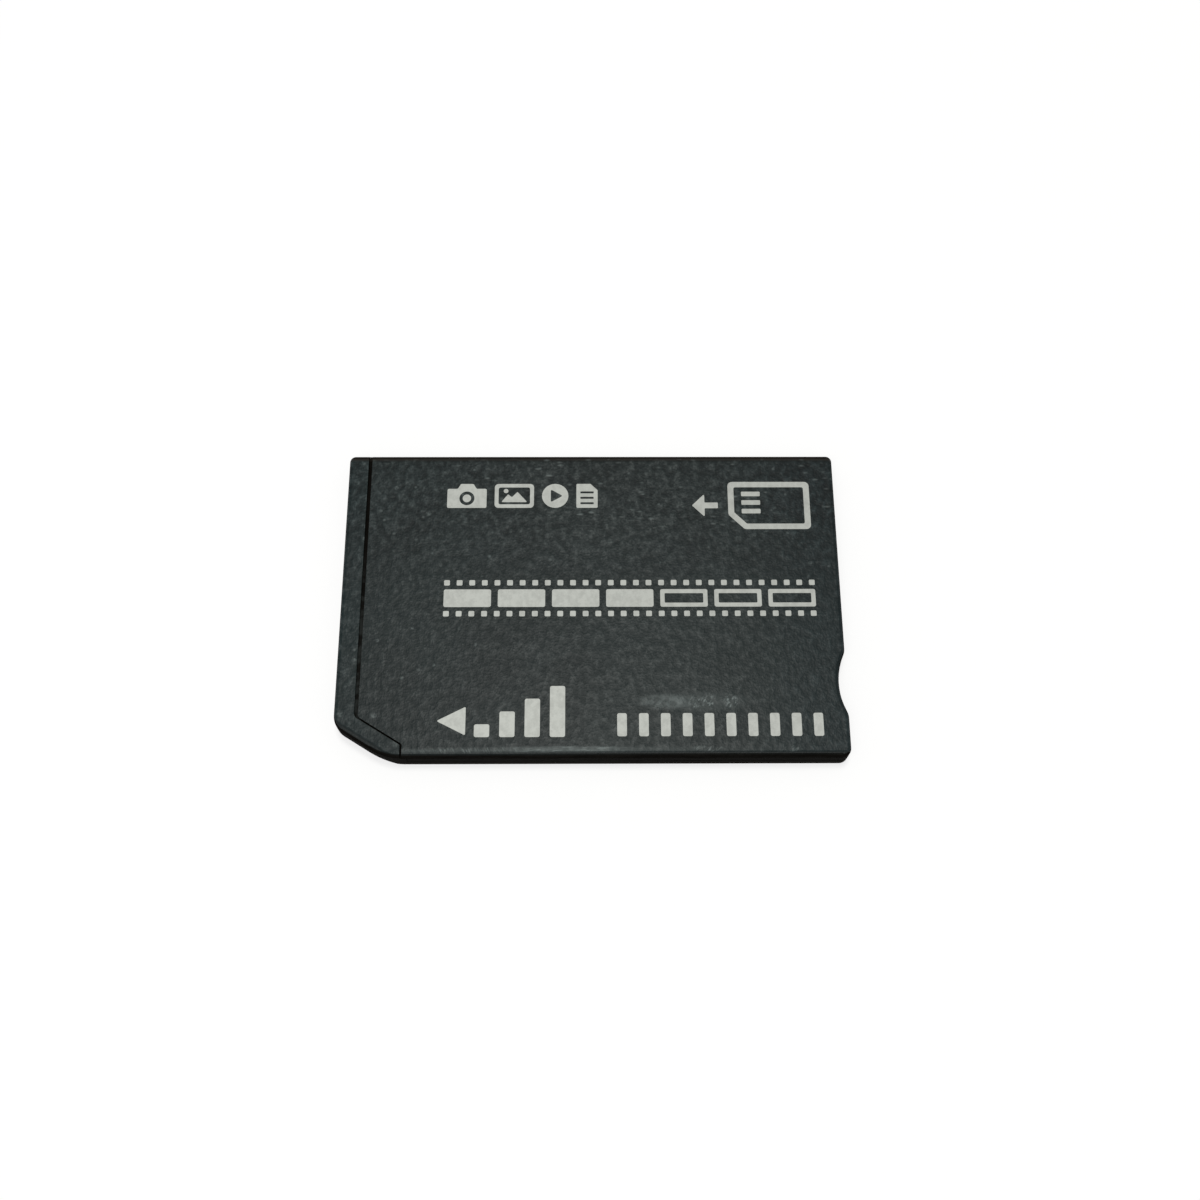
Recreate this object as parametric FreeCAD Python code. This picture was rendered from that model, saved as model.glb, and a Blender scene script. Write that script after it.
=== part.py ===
import FreeCAD, Part
import math
import os

from FreeCAD import Vector

# A flash memory card: a thin tray and a cover, welded round a small circuit board.
# Millimetres. +X runs from the insertion end to the rear, +Y across the card away from its cut corner,
# and +Z up through the label face. The origin is the middle of the underside.

# Card body
card_length = 31.0
card_width = 20.0
card_thickness = 1.6

# Plan outline
corner_radius = 0.38
notch_corner_radius = 0.6   # rear corner beside the notch
cut_length = 3.15           # cut corner at the insertion end, along the card
cut_depth = 1.97            # cut corner, across the card
cut_front_blend = 1.3       # rounding where the cut leaves the front edge
cut_side_blend = 4.0        # rounding where the cut runs out into the long edge
notch_offset = 4.66         # notch in the rear edge, from the near long edge to the notch's middle
notch_depth = 0.48
notch_radius = 4.3
notch_blend = 1.0           # rounding at both ends of the notch
edge_round = 0.25           # label face to sides
base_round = 0.12           # underside to sides
lead_in_height = 0.6        # slope under the cut corner, which guides the card into a slot
lead_in_depth = 0.45

# Mouldings
shell_wall = 0.8
floor_thickness = 0.3
cover_thickness = 0.25
parting_height = 0.8        # where the cover's walls stand on the tray's walls
parting_chamfer = 0.05      # both walls, so that the parting line shows as a fine groove
lip_width = 0.35            # tongue on the tray's wall, inside the cover's wall
lip_height = 0.3
lip_clearance = 0.04
nose_width = 1.235          # full-height bar of the tray along the front edge
nose_band = 1.16            # the same bar along the cut corner
nose_reach = 4.05           # from the front edge to where the bar ends at the near long edge
seam_gap = 0.24             # between the bar and the cover, along the card
seam_cut_gap = 0.11         # the same, square to the cut corner
seam_end_gap = 0.13         # the same, where the bar ends
seam_bend_radius = 0.4
seam_end_radius = 0.1
step_width = 0.4            # step behind the bar, which the cover's front edge lies on
step_drop = 0.2             # label face to the step
clamp_rim = 0.5             # rim under the cover's front edge, which holds the board down

# Board and contacts
board_thickness = 0.25
board_clearance = 0.1
seat_width = 0.5            # ledge round the tray that carries the board
contact_count = 10
contact_pitch = 1.5
contact_row_shift = 0.5     # row's middle, from the card's middle, away from the cut corner
contact_recess = 0.4        # underside to the contacts
window_width = 1.0
window_length = 4.0
window_setback = 0.4        # board's front edge to the windows
window_ramp = 0.5           # slope at the front of each window, for the reader's springs
window_chamfer = 0.06
platform_margin = 0.6       # thick floor behind the windows
pad_thickness = 0.03
pad_overlap = 0.12          # each pad lies on the ribs round its window by this much
pad_corner = 0.15
pad_recess_clearance = 0.05

# Parts on the board
chip_clearance = 0.07       # chips to the cover
flash_length = 11.0
flash_width = 13.0
flash_setback = 0.5         # chip to the board's rear edge at the notch
controller_size = 7.0
controller_setback = 1.4    # chip to the board's front edge
controller_relief = 0.06    # the controller is this much lower than the memory chip
chip_edge_chamfer = 0.08
pin_mark_radius = 0.4
pin_mark_depth = 0.04
pin_mark_inset = 1.1
passive_length = 1.0
passive_width = 0.5
passive_cap_length = 0.25
passive_cap_step = 0.02     # end caps stand this much proud of the body
passive_pitch = 1.2
passive_row_gap = 0.9       # controller's side to the middle of a row of passives
capacitor_height = 0.32
capacitor_count = 6
resistor_height = 0.26
resistor_count = 4

# Derived places
front_x = -card_length / 2
rear_x = card_length / 2
near_y = -card_width / 2
far_y = card_width / 2
cut_slant = math.hypot(cut_length, cut_depth)
cut_normal_x = cut_depth / cut_slant
cut_normal_y = cut_length / cut_slant
notch_y = near_y + notch_offset
lip_top = parting_height + lip_height
step_top = card_thickness - step_drop
step_gaps = [step_width] * 3
step_room = step_width + lip_clearance
step_room_gaps = [step_room] * 3
seam_gaps = [seam_gap, seam_cut_gap, seam_end_gap]
cover_inside = card_thickness - cover_thickness
board_low = contact_recess + pad_thickness
board_top = board_low + board_thickness
board_front = front_x + nose_width + step_width + board_clearance
board_rear_at_notch = rear_x - notch_depth - shell_wall - board_clearance
window_front = board_front + window_setback
window_back = window_front + window_length
platform_back = window_back + platform_margin
controller_x = board_front + controller_setback + controller_size / 2
flash_x = board_rear_at_notch - flash_setback - flash_length / 2
chip_top = cover_inside - chip_clearance

# Working values
overshoot = 1.0             # how far cutting shapes run past the card
fillet_share = 0.95         # largest fillet, as a share of the tightest convex corner of the plan
tolerance = 1e-4            # lengths below this count as nothing


def round_corner(before, corner, after, radius):
    """Start, middle and end of the arc that rounds a corner, as points of the plan."""
    to_before = (before - corner).normalize()
    to_after = (after - corner).normalize()
    half_angle = to_before.getAngle(to_after) / 2
    reach = radius / math.tan(half_angle)
    bisector = (to_before + to_after).normalize()
    middle = corner + bisector * (radius / math.sin(half_angle) - radius)
    return corner + to_before * reach, middle, corner + to_after * reach


def plan_wire(corners):
    """Closed wire through corners given as (x, y, radius). A radius of 0 leaves the corner sharp."""
    points = [Vector(x, y, 0) for x, y, _ in corners]
    starts, ends, arcs = [], [], []
    for index, (_, _, radius) in enumerate(corners):
        corner = points[index]
        start, middle, end = corner, corner, corner
        if radius > tolerance:
            after = points[(index + 1) % len(points)]
            start, middle, end = round_corner(points[index - 1], corner, after, radius)
        starts.append(start)
        ends.append(end)
        arcs.append(middle)
    edges = []
    for index in range(len(points)):
        if (ends[index] - starts[index]).Length > tolerance:
            edges.append(Part.Arc(starts[index], arcs[index], ends[index]).toShape())
        following = starts[(index + 1) % len(points)]
        if (following - ends[index]).Length > tolerance:
            edges.append(Part.LineSegment(ends[index], following).toShape())
    return Part.Wire(Part.__sortEdges__(edges))


def prism(corners, low, high):
    """Upright solid over a plan, from one height to another."""
    face = Part.Face(plan_wire(corners))
    face.translate(Vector(0, 0, low))
    return face.extrude(Vector(0, 0, high - low))


def block(low_x, high_x, low_y, high_y, low_z, high_z):
    return Part.makeBox(high_x - low_x, high_y - low_y, high_z - low_z, Vector(low_x, low_y, low_z))


def cut_line_level(offset):
    """Distance from the origin, along the cut's normal, of a line moved inwards from the cut corner."""
    return cut_normal_x * front_x + cut_normal_y * (near_y + cut_depth) + offset


def cut_line_y(x, offset):
    """Y where the cut corner's line, moved inwards, passes the given X."""
    return (cut_line_level(offset) - cut_normal_x * x) / cut_normal_y


def cut_line_x(y, offset):
    """X where the cut corner's line, moved inwards, passes the given Y."""
    return (cut_line_level(offset) - cut_normal_y * y) / cut_normal_x


def card_corners(inset=0.0):
    """The card's outline, moved inwards: two rear corners with the notch between, two front ones, one cut."""
    front, rear = front_x + inset, rear_x - inset
    near, far = near_y + inset, far_y - inset
    corner = max(corner_radius - inset, 0)
    notch_corner = max(notch_corner_radius - inset, 0)
    front_blend = max(cut_front_blend - inset, 0)
    side_blend = max(cut_side_blend - inset, 0)
    hollow, shoulder = notch_radius + inset, max(notch_blend - inset, 0)
    slope = math.acos(1 - notch_depth / (hollow + shoulder))
    apex = notch_depth + hollow * (1 / math.cos(slope) - 1)
    half_mouth = apex / math.tan(slope)
    return [
        (cut_line_x(near, inset), near, side_blend),
        (rear, near, notch_corner),
        (rear, notch_y - half_mouth, shoulder),
        (rear - apex, notch_y, hollow),
        (rear, notch_y + half_mouth, shoulder),
        (rear, far, corner),
        (front, far, corner),
        (front, cut_line_y(front, inset), front_blend),
    ]


def nose_corners(gaps):
    """Plan of the tray's front bar, moved off its front run, its slant along the cut and its end by three gaps."""
    front_gap, cut_gap, end_gap = gaps
    seam_x = front_x + nose_width + front_gap
    end_x = front_x + nose_reach + end_gap
    bend_y = cut_line_y(seam_x, nose_band + cut_gap)
    end_y = cut_line_y(end_x, nose_band + cut_gap)
    outside_x, below, above = front_x - overshoot, near_y - overshoot, far_y + overshoot
    return [
        (outside_x, below, 0),
        (end_x, below, 0),
        (end_x, end_y, seam_end_radius + cut_gap),
        (seam_x, bend_y, max(seam_bend_radius - cut_gap, 0)),
        (seam_x, above, 0),
        (outside_x, above, 0),
    ]


def card_prism(inset, low, high):
    return prism(card_corners(inset), low, high)


def nose_prism(gaps, low, high):
    return prism(nose_corners(gaps), low, high)


def edges_along(solid, corners, height):
    """The solid's edges that follow a plan outline at one height."""
    path = plan_wire(corners)
    path.translate(Vector(0, 0, height))
    picked = []
    for edge in solid.Edges:
        middle = edge.valueAt((edge.FirstParameter + edge.LastParameter) / 2)
        at_height = abs(middle.z - height) < tolerance
        if at_height and path.distToShape(Part.Vertex(middle))[0] < tolerance:
            picked.append(edge)
    return picked


def round_outer(solid, height, radius):
    """Rounds the card's outer edge at one height, within what the plan's corners allow."""
    limit = fillet_share * min(corner_radius, notch_corner_radius, cut_front_blend, notch_blend)
    return solid.makeFillet(min(radius, limit), edges_along(solid, card_corners(), height))


def contact_middles():
    """Y of each contact, from the near side to the far side."""
    first = contact_row_shift - contact_pitch * (contact_count - 1) / 2
    return [first + contact_pitch * index for index in range(contact_count)]


def window_cutter(middle_y):
    """Opening under one contact, with the sloping front that lifts the reader's spring."""
    profile = [
        (window_front - window_ramp, -overshoot),
        (window_front - window_ramp, 0),
        (window_front, contact_recess),
        (window_back, contact_recess),
        (window_back, -overshoot),
    ]
    start_y = middle_y - window_width / 2
    points = [Vector(x, start_y, z) for x, z in profile]
    face = Part.Face(Part.makePolygon(points + points[:1]))
    return face.extrude(Vector(0, window_width, 0))


def pad_recess():
    """Shallow bed for the row of pads, so that the board itself lies on the ledge."""
    reach = pad_overlap + pad_recess_clearance
    middles = contact_middles()
    return block(
        window_front - reach, window_back + reach,
        middles[0] - window_width / 2 - reach, middles[-1] + window_width / 2 + reach,
        contact_recess, board_low,
    )


def make_lead_in():
    """Wedge that is cut away under the cut corner."""
    slope = lead_in_depth / lead_in_height
    profile = [
        (-overshoot, lead_in_height),
        (0, lead_in_height),
        (lead_in_depth + slope * overshoot, -overshoot),
        (-overshoot, -overshoot),
    ]
    along = Vector(cut_normal_y, -cut_normal_x, 0)
    inwards = Vector(cut_normal_x, cut_normal_y, 0)
    start = Vector(front_x, near_y + cut_depth, 0) - along * cut_slant
    points = [start + inwards * offset + Vector(0, 0, height) for offset, height in profile]
    face = Part.Face(Part.makePolygon(points + points[:1]))
    return face.extrude(along * (3 * cut_slant))


def make_tray_block():
    """The tray before it is hollowed: a low slab, with the full-height bar and its step along the front."""
    slab = card_prism(0, 0, parting_height)
    slab = slab.makeChamfer(parting_chamfer, edges_along(slab, card_corners(), parting_height))
    whole = round_outer(card_prism(0, 0, card_thickness), card_thickness, edge_round)
    bar = whole.common(nose_prism([0, 0, 0], -overshoot, card_thickness + overshoot))
    step = whole.common(nose_prism(step_gaps, -overshoot, step_top))
    body = slab.fuse([bar, step]).removeSplitter()
    return round_outer(body, 0, base_round).cut(make_lead_in())


def make_tray_hollow():
    """Room for the board, the space below it behind the contacts, and the bed for the pads."""
    board_room = card_prism(shell_wall, board_low, parting_height)
    board_room = board_room.cut(nose_prism(step_gaps, 0, card_thickness))
    under_board = card_prism(shell_wall + seat_width, floor_thickness, board_low)
    platform = block(front_x, platform_back, near_y, far_y, 0, board_low)
    return [board_room, under_board.cut(platform), pad_recess()]


def make_tongue():
    """Ridge on the tray's wall that the cover's wall laps over."""
    ridge = card_prism(shell_wall - lip_width, parting_height, lip_top)
    ridge = ridge.cut(card_prism(shell_wall, parting_height, lip_top))
    return ridge.cut(nose_prism(step_gaps, 0, card_thickness))


def window_mouths(tray):
    """Edges of the contact windows in the tray's underside."""
    mouth_front = window_front - window_ramp - tolerance
    mouth_back = window_back + tolerance
    boxes = [(edge, edge.BoundBox) for edge in tray.Edges]
    return [
        edge for edge, box in boxes
        if box.ZMax < tolerance and box.XMin > mouth_front and box.XMax < mouth_back
    ]


def make_lower_case():
    tray = make_tray_block().cut(make_tray_hollow()).fuse(make_tongue())
    tray = tray.cut([window_cutter(y) for y in contact_middles()]).removeSplitter()
    return tray.makeChamfer(window_chamfer, window_mouths(tray))


def make_clamp_rim():
    """Rim under the cover's front edge that reaches down to the board."""
    rim = card_prism(shell_wall + lip_clearance, board_top, cover_inside)
    rim = rim.common(nose_prism([step_room + clamp_rim] * 3, 0, card_thickness))
    return rim.cut(nose_prism(step_room_gaps, 0, card_thickness))


def make_upper_cover():
    body = card_prism(0, parting_height, card_thickness)
    body = body.cut(nose_prism(seam_gaps, 0, card_thickness + overshoot))
    body = round_outer(body, card_thickness, edge_round)
    body = body.makeChamfer(parting_chamfer, edges_along(body, card_corners(), parting_height))
    tongue_room = card_prism(shell_wall - lip_width - lip_clearance, parting_height, lip_top + lip_clearance)
    inside = card_prism(shell_wall, parting_height, cover_inside)
    over_step = nose_prism(step_room_gaps, 0, step_top)
    return body.cut([tongue_room, inside, over_step]).fuse(make_clamp_rim()).removeSplitter()


def make_circuit_board():
    board = card_prism(shell_wall + board_clearance, board_low, board_top)
    return board.cut(nose_prism([step_width + board_clearance] * 3, 0, card_thickness))


def make_contact_pad(middle_y):
    low_x, high_x = window_front - pad_overlap, window_back + pad_overlap
    low_y, high_y = middle_y - window_width / 2 - pad_overlap, middle_y + window_width / 2 + pad_overlap
    corners = [
        (low_x, low_y, pad_corner),
        (high_x, low_y, pad_corner),
        (high_x, high_y, pad_corner),
        (low_x, high_y, pad_corner),
    ]
    return prism(corners, contact_recess, board_low)


def make_chip(middle_x, length, width, top):
    """Moulded package on the board, with chamfered top edges and a round mark at pin one."""
    low_x, low_y = middle_x - length / 2, -width / 2
    body = block(low_x, low_x + length, low_y, low_y + width, board_top, top)
    top_edges = [edge for edge in body.Edges if edge.BoundBox.ZMin > top - tolerance]
    body = body.makeChamfer(chip_edge_chamfer, top_edges)
    mark_base = Vector(low_x + pin_mark_inset, low_y + pin_mark_inset, top - pin_mark_depth)
    return body.cut(Part.makeCylinder(pin_mark_radius, pin_mark_depth + overshoot, mark_base))


def make_passive(middle_x, middle_y, height):
    """Chip capacitor or resistor: a ceramic body with an end cap at each end, lying along X."""
    low_x, high_x = middle_x - passive_length / 2, middle_x + passive_length / 2
    low_y, high_y = middle_y - passive_width / 2, middle_y + passive_width / 2
    top = board_top + height
    step = passive_cap_step
    body = block(low_x, high_x, low_y + step, high_y - step, board_top, top - step)
    front_cap = block(low_x, low_x + passive_cap_length, low_y, high_y, board_top, top)
    rear_cap = block(high_x - passive_cap_length, high_x, low_y, high_y, board_top, top)
    return body.fuse([front_cap, rear_cap]).removeSplitter()


def make_passive_row(name, count, height, middle_y):
    """A row of like passives beside the controller, centred on it."""
    first_x = controller_x - passive_pitch * (count - 1) / 2
    return {
        f"{name}_{index + 1}": make_passive(first_x + passive_pitch * index, middle_y, height)
        for index in range(count)
    }


def make_parts():
    row_y = controller_size / 2 + passive_row_gap
    controller_top = chip_top - controller_relief
    parts = {
        "lower_case": make_lower_case(),
        "upper_cover": make_upper_cover(),
        "circuit_board": make_circuit_board(),
        "flash_memory_chip": make_chip(flash_x, flash_length, flash_width, chip_top),
        "controller_chip": make_chip(controller_x, controller_size, controller_size, controller_top),
    }
    for index, middle_y in enumerate(contact_middles()):
        parts[f"contact_pad_{index + 1}"] = make_contact_pad(middle_y)
    parts.update(make_passive_row("capacitor", capacitor_count, capacitor_height, row_y))
    parts.update(make_passive_row("resistor", resistor_count, resistor_height, -row_y))
    return parts


os.makedirs("parts", exist_ok=True)
for node, shape in make_parts().items():
    print(f"{node}: {len(shape.Solids)} solid, valid {shape.isValid()}, {shape.Volume:.3f} mm3")
    shape.exportStep(f"parts/{node}.step")
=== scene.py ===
import math

import bmesh
import bpy
from mathutils import Matrix, Vector
from mathutils.geometry import tessellate_polygon


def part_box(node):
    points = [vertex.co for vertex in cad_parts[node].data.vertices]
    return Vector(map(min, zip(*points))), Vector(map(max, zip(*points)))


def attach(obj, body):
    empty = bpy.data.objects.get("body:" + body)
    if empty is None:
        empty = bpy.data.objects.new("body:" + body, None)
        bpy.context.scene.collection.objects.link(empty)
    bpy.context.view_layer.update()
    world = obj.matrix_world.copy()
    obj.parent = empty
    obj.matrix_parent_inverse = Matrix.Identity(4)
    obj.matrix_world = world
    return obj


# Looks of a flash memory card: grained plastic, screen-printed marks and gold contacts.
# The card lies label side up, with its insertion end, the front, to the left of the picture. Its near side
# is towards the camera, and its rear end has the notch.

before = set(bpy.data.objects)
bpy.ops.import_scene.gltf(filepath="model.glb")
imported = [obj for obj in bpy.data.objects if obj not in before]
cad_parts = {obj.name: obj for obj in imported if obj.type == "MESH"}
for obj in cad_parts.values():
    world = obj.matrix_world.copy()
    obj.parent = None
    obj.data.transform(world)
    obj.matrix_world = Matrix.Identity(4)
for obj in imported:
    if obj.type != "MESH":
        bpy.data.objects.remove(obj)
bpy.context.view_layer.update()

MM = 0.001

# Where the photograph was taken from, in millimetres and degrees
CAMERA_PLACE = (-0.29, -32.06, 84.30)
CAMERA_PITCH = 68.79        # below the horizon
CAMERA_YAW = 1.46           # to the right of +Y
CAMERA_ROLL = -1.27
CAMERA_CLIP = 1.0           # nearest distance that is drawn
FOCAL_PIXELS = 1433.3
FRAME_PIXELS = 1200
SENSOR_WIDTH = 36.0

# Colours, as linear light
COVER_PIT = (0.0059, 0.0106, 0.0109)
COVER_PEAK = (0.0304, 0.0373, 0.0372)
CASE_PIT = (0.0051, 0.0107, 0.0113)
CASE_PEAK = (0.0355, 0.0448, 0.0454)
# Painted shade towards the rear end, and a painted warm sheen in the middle of the far side, as tints
REAR_SHADE_TINT = (0.8200, 0.9500, 1.0000)
FAR_SHEEN_TINT = (1.1500, 1.0800, 1.0600)
# Painted shade where the label face turns down at its edges
EDGE_SHADE = (0.0125, 0.0110, 0.0092)
# Near black of the walls, painted shade
WALL_DARK = (0.0036, 0.0032, 0.0027)
WALL_PALE = (0.0064, 0.0058, 0.0050)
# Painted half shade at the edges: darkens the face where it turns down, and lightens the walls just under
# it
ROUND_HALF_SHADE = (0.0120, 0.0150, 0.0150)
# Painted brown reflection at the foot of the walls
FOOT_REFLECTION = (0.0100, 0.0070, 0.0045)
WALL_SIDE = (0.0185, 0.0220, 0.0217)
SEAM_DUST = (0.0210, 0.0238, 0.0230)
# Pale colour of wear, and of painted glints and highlights
WORN_AND_HIGHLIGHT = (0.1500, 0.1770, 0.1740)
INK = (0.4630, 0.4800, 0.4500)
INK_THIN = (0.3500, 0.3670, 0.3450)
GOLD = (0.7900, 0.5400, 0.2150)
GOLD_WIPED = (0.8300, 0.5900, 0.2700)
MASK_GREEN = (0.0070, 0.0450, 0.0180)
TRACK_GREEN = (0.0150, 0.0800, 0.0320)
EPOXY_DARK = (0.0110, 0.0110, 0.0120)
EPOXY_PALE = (0.0190, 0.0190, 0.0200)
CERAMIC_TAN = (0.1880, 0.1170, 0.0760)
CERAMIC_BLACK = (0.0190, 0.0210, 0.0270)
TIN_DULL = (0.5200, 0.5200, 0.5000)
TIN_BRIGHT = (0.6600, 0.6600, 0.6400)
FLOOR_WHITE = (0.9700, 0.9700, 0.9700)
LIGHT_WHITE = (1.0000, 1.0000, 1.0000)
LIGHT_WARM = (1.0000, 0.9900, 0.9400)

# Upward part of a normal from which a face of the mouldings is grained, along the card's long sides and at
# its ends. Steeper faces have the walls' material, near black with painted shade, down to the underside.
LONG_FACE_FROM = 0.999
END_FACE_FROM = 0.60
UNDERSIDE_FROM = -0.5

INK_HEIGHT = 0.006 * MM
INK_SUNK = 0.002 * MM

# The card's outer limits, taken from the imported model: FACE_Z in metres, the rest in millimetres
cover_low, cover_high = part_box("upper_cover")
FACE_Z = cover_high.z
FACE = cover_high.z / MM
NEAR_EDGE = cover_low.y / MM
FAR_EDGE = cover_high.y / MM
SEAM = cover_low.x / MM
FRONT_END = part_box("lower_case")[0].x / MM
REAR_END = cover_high.x / MM

# The card's own sizes that its looks follow, in millimetres
EDGE_ROUND = 0.25           # label face to sides
ROUND_BLEND = 0.10          # over which the looks of the round end
CUT_LENGTH = 3.15           # cut corner, along the card
CUT_DEPTH = 1.97            # cut corner, across the card
NOTCH_DEPTH = 0.48          # notch in the rear end
SEAM_GAP = 0.24             # between nose bar and cover
SEAM_FLOOR = 0.1            # least depth of the seam's bottom under the label face
CAP_LENGTH = 0.25           # end caps of the capacitors and resistors
CAP_MARGIN = 0.002          # by which a cap's inner edge may miss its place

# Grain of the mouldings: sizes in millimetres, and the share of its height that the lumps make
LUMP_SIZE = 0.38
PIT_SIZE = 0.14
LUMP_SHARE = 0.72
GRAIN_DEPTH = 0.05
GRAIN_STRENGTH = 0.8
GRAIN_LOW = 0.2             # height under which the plastic is as rough as in its pits
GRAIN_HIGH = 0.8            # height over which it is as smooth as on its peaks
PLASTIC_SPECULAR = 0.10

# Where a grained face turns down at an edge, and painted shade darkens it: width in millimetres, and drop
# in depths of the grain
FAR_TURN = 0.25
FAR_DROP = 0.9
NEAR_TURN = 0.17
NEAR_DROP = 1.6
CUT_TURN = 0.20
CUT_DROP = 1.9

# How pale each kind of mark gets, as a share of the pale colour: the points and flecks are painted glints,
# the spots and the lip's specks are wear
GLINTS_ON_COVER = 0.38
GLINTS_ON_CASE = 0.35
SPOTS_ON_COVER = 0.40
SPOTS_ON_CASE = 0.32
GLINT_FLECKS_ON_COVER = 0.55
SPECKS_ON_LIP = 0.50
FLECK_RISE = 0.35           # height of a fleck, in depths of the grain

# Small pale places: x, y and radius, in millimetres
RUBBED_COVER = (
    (-13.1, -7.4, 0.24), (-13.3, 6.1, 0.13), (-11.0, 4.1, 0.15), (-12.4, 7.7, 0.17), (-10.3, 5.9, 0.22),
    (-11.5, -5.0, 0.16), (-9.6, -4.2, 0.14), (-13.1, -2.6, 0.14), (-7.1, -2.9, 0.13), (-11.0, -1.8, 0.12),
    (-10.5, -4.5, 0.13), (-6.4, 3.0, 0.16), (13.7, 2.5, 0.15),
)
# The first place, at the nose's near corner, is a painted catch-light; the others are rubbed pale
RUBBED_CASE = ((-15.1, -7.3, 0.26), (-11.7, -9.2, 0.26), (-14.2, 5.0, 0.13), (-14.3, 4.2, 0.15))

# A noise has this middle, and most of it lies within this spread of it
NOISE_MIDDLE = 0.5
NOISE_SPREAD = 0.2


def feed(tree, socket, value):
    """Links a socket, or sets a plain value."""
    if isinstance(value, bpy.types.NodeSocket):
        tree.links.new(value, socket)
    elif socket.type == "RGBA":
        socket.default_value = (*value, 1.0)
    else:
        socket.default_value = value


def add_node(tree, kind, settings=None, inputs=None):
    """Adds a node with its settings, and feeds its inputs."""
    node = tree.nodes.new(kind)
    for name, value in (settings or {}).items():
        setattr(node, name, value)
    for name, value in (inputs or {}).items():
        feed(tree, node.inputs[name], value)
    return node


class Shader:
    """A material's nodes, with short calls for the few kinds used here. Lengths are millimetres."""

    def __init__(self, name):
        self.material = bpy.data.materials.new(name)
        self.material.use_nodes = True
        self.tree = self.material.node_tree
        self.tree.nodes.clear()
        metres = self.add("ShaderNodeTexCoord").outputs["Object"]
        self.place = self.vector("SCALE", {"Vector": metres, "Scale": 1 / MM})

    def add(self, kind, settings=None, inputs=None):
        return add_node(self.tree, kind, settings, inputs)

    def vector(self, operation, inputs):
        return self.add("ShaderNodeVectorMath", {"operation": operation}, inputs).outputs["Vector"]

    def stretched(self, factors, place=None):
        """A place with each axis scaled, so that a pattern is drawn out where a factor is small."""
        return self.vector("MULTIPLY", {0: place or self.place, 1: factors})

    def turned(self, degrees):
        """The place, turned about Z."""
        inputs = {"Vector": self.place, "Angle": math.radians(degrees)}
        return self.add("ShaderNodeVectorRotate", {"rotation_type": "Z_AXIS"}, inputs).outputs["Vector"]

    def axis(self, name):
        return self.add("ShaderNodeSeparateXYZ", None, {0: self.place}).outputs[name]

    def noise(self, size, detail=2.0, roughness=0.5, place=None):
        """Noise of about 0 to 1, with lumps of the given size."""
        inputs = {"Vector": place or self.place, "Scale": 1 / size}
        inputs.update({"Detail": detail, "Roughness": roughness})
        return self.add("ShaderNodeTexNoise", None, inputs).outputs["Fac"]

    def cells(self, size, place=None):
        """Distance to the nearest of scattered points, in cells, and a random colour for that point."""
        inputs = {"Vector": place or self.place, "Scale": 1 / size}
        node = self.add("ShaderNodeTexVoronoi", None, inputs)
        return node.outputs["Distance"], node.outputs["Color"]

    def calculate(self, operation, first, second=0.0):
        inputs = {0: first, 1: second}
        return self.add("ShaderNodeMath", {"operation": operation}, inputs).outputs["Value"]

    def plus(self, first, *others):
        for other in others:
            first = self.calculate("ADD", first, other)
        return first

    def minus(self, first, second):
        return self.calculate("SUBTRACT", first, second)

    def times(self, first, *others):
        for other in others:
            first = self.calculate("MULTIPLY", first, other)
        return first

    def largest(self, first, *others):
        for other in others:
            first = self.calculate("MAXIMUM", first, other)
        return first

    def away(self, value, middle):
        """How far a value is from a middle, to either side."""
        return self.calculate("ABSOLUTE", self.minus(value, middle))

    def ramp(self, value, start, end, low=0.0, high=1.0):
        """Smooth step from low to high as value goes from start to end."""
        inputs = {"Value": value, "From Min": start, "From Max": end, "To Min": low, "To Max": high}
        node = self.add("ShaderNodeMapRange", {"interpolation_type": "SMOOTHSTEP"}, inputs)
        return node.outputs["Result"]

    def over(self, noise, low=0.0, high=1.0, spread=NOISE_SPREAD):
        """From low to high as a noise goes from a spread under its middle to a spread over it."""
        return self.ramp(noise, NOISE_MIDDLE - spread, NOISE_MIDDLE + spread, low, high)

    def mix(self, factor, first, second, blend="MIX"):
        # Sockets for colours share their names with those for plain values, so they go by number
        settings = {"data_type": "RGBA", "blend_type": blend}
        return self.add("ShaderNodeMix", settings, {0: factor, 6: first, 7: second}).outputs[2]

    def shaded(self, colour, value):
        """The colour, made darker or lighter by a value about 1."""
        grey = self.add("ShaderNodeCombineColor", None, {"Red": value, "Green": value, "Blue": value})
        return self.mix(1.0, colour, grey.outputs["Color"], "MULTIPLY")

    def varied(self, colour, noise, change, spread=NOISE_SPREAD):
        """The colour, darker and lighter by up to a change as a noise goes over its spread."""
        return self.shaded(colour, self.over(noise, 1 - change, 1 + change, spread))

    def bump(self, height, depth, strength=1.0):
        """Normal of a surface whose height goes from 0 to a depth in millimetres."""
        inputs = {"Height": height, "Distance": depth * MM, "Strength": strength}
        return self.add("ShaderNodeBump", None, inputs).outputs["Normal"]

    def finish(self, **inputs):
        """Ends in one principled shader. Underscores in the names stand for spaces."""
        named = {name.replace("_", " "): value for name, value in inputs.items()}
        shader = self.add("ShaderNodeBsdfPrincipled", None, named)
        self.add("ShaderNodeOutputMaterial", None, {"Surface": shader.outputs["BSDF"]})
        return self.material


# Places on the card


def inside_far_edge(shader):
    return shader.minus(FAR_EDGE, shader.axis("Y"))


def inside_near_edge(shader):
    return shader.minus(shader.axis("Y"), NEAR_EDGE)


def inside_cut_corner(shader):
    """Distance in from the line of the cut corner."""
    along = shader.minus(shader.axis("X"), FRONT_END)
    across = shader.minus(inside_near_edge(shader), CUT_DEPTH)
    rise = shader.plus(shader.times(along, CUT_DEPTH), shader.times(across, CUT_LENGTH))
    return shader.calculate("DIVIDE", rise, math.hypot(CUT_LENGTH, CUT_DEPTH))


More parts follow.
